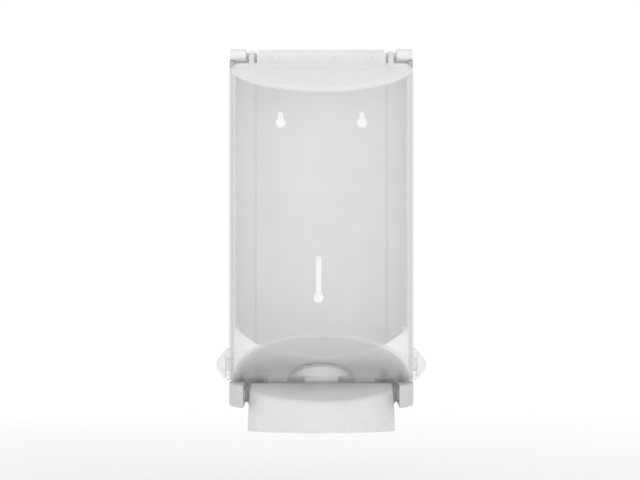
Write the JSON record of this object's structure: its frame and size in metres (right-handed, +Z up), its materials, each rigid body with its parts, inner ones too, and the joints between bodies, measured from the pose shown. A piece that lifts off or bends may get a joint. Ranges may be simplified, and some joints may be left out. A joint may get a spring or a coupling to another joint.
{
  "type": "wall-mounted push-bar dispenser",
  "caption": "Wall-mounted dispenser with a white back housing, a clear bulged lift-up cover and a sprung push bar that squeezes a refill's outlet tube.",
  "frame": {"origin": "on the wall plane, midway between the two upper keyholes", "axes": "+X to the right seen from the front, +Y into the wall, +Z up; the dispenser stands out towards -Y"},
  "size_m": [0.145, 0.105, 0.2615],
  "materials": {
    "white_housing": "white moulded plastic, fine satin texture",
    "white_chassis": "white moulded plastic, fine satin texture",
    "white_bar": "white moulded plastic, semi-gloss",
    "grey_collar": "pale grey moulded plastic, matt",
    "clear_cover": "clear moulded plastic, faintly frosted",
    "stud_plastic": "translucent natural plastic, gloss",
    "bush_plastic": "natural acetal, satin",
    "soft_rubber": "soft grey rubber, matt",
    "steel": "zinc-plated steel, satin",
    "spring_steel": "bright spring wire"
  },
  "bodies": {
    "housing": {"back_housing": "white_housing", "lower_chassis": "white_chassis", "outlet_collar": "grey_collar", "anvil_block": "white_chassis", "anvil_pad": "soft_rubber", "anvil_screws": "steel", "chassis_screws": "steel", "stop_pads": "soft_rubber", "cover_hinge_pin_left": "steel", "cover_hinge_pin_right": "steel", "cover_bumper_left": "soft_rubber", "cover_bumper_right": "soft_rubber", "snap_stud_left": "stud_plastic", "snap_stud_right": "stud_plastic", "stud_clip_left": "steel", "stud_clip_right": "steel", "lever_bush_left": "bush_plastic", "lever_bush_right": "bush_plastic", "return_spring_left": "spring_steel", "return_spring_right": "spring_steel"},
    "cover": {"front_cover": "clear_cover"},
    "push_bar": {"push_bar_shell": "white_bar", "push_bar_frame": "white_chassis", "bar_screws": "steel", "roller_axle": "steel", "lever_pin_left": "steel", "lever_pin_right": "steel", "pin_clip_left": "steel", "pin_clip_right": "steel"},
    "roller": {"squeeze_roller": "bush_plastic"}
  },
  "joints": [
    {"name": "cover_hinge", "type": "hinge", "parent": "housing", "child": "cover", "pos_m": [0, -0.038, 0.0445], "axis": [-1, 0, 0], "range_deg": [0, 100]},
    {"name": "push_bar_hinge", "type": "hinge", "parent": "housing", "child": "push_bar", "pos_m": [0, -0.057, -0.1886], "axis": [1, 0, 0], "range_deg": [0, 22], "stiffness_Nm_per_rad": 0.15, "springref_deg": -14.9, "deforming": ["return_spring_left", "return_spring_right"]},
    {"name": "roller_spin", "type": "hinge", "parent": "push_bar", "child": "roller", "pos_m": [0, -0.056, -0.2049], "axis": [1, 0, 0], "continuous": true}
  ]
}
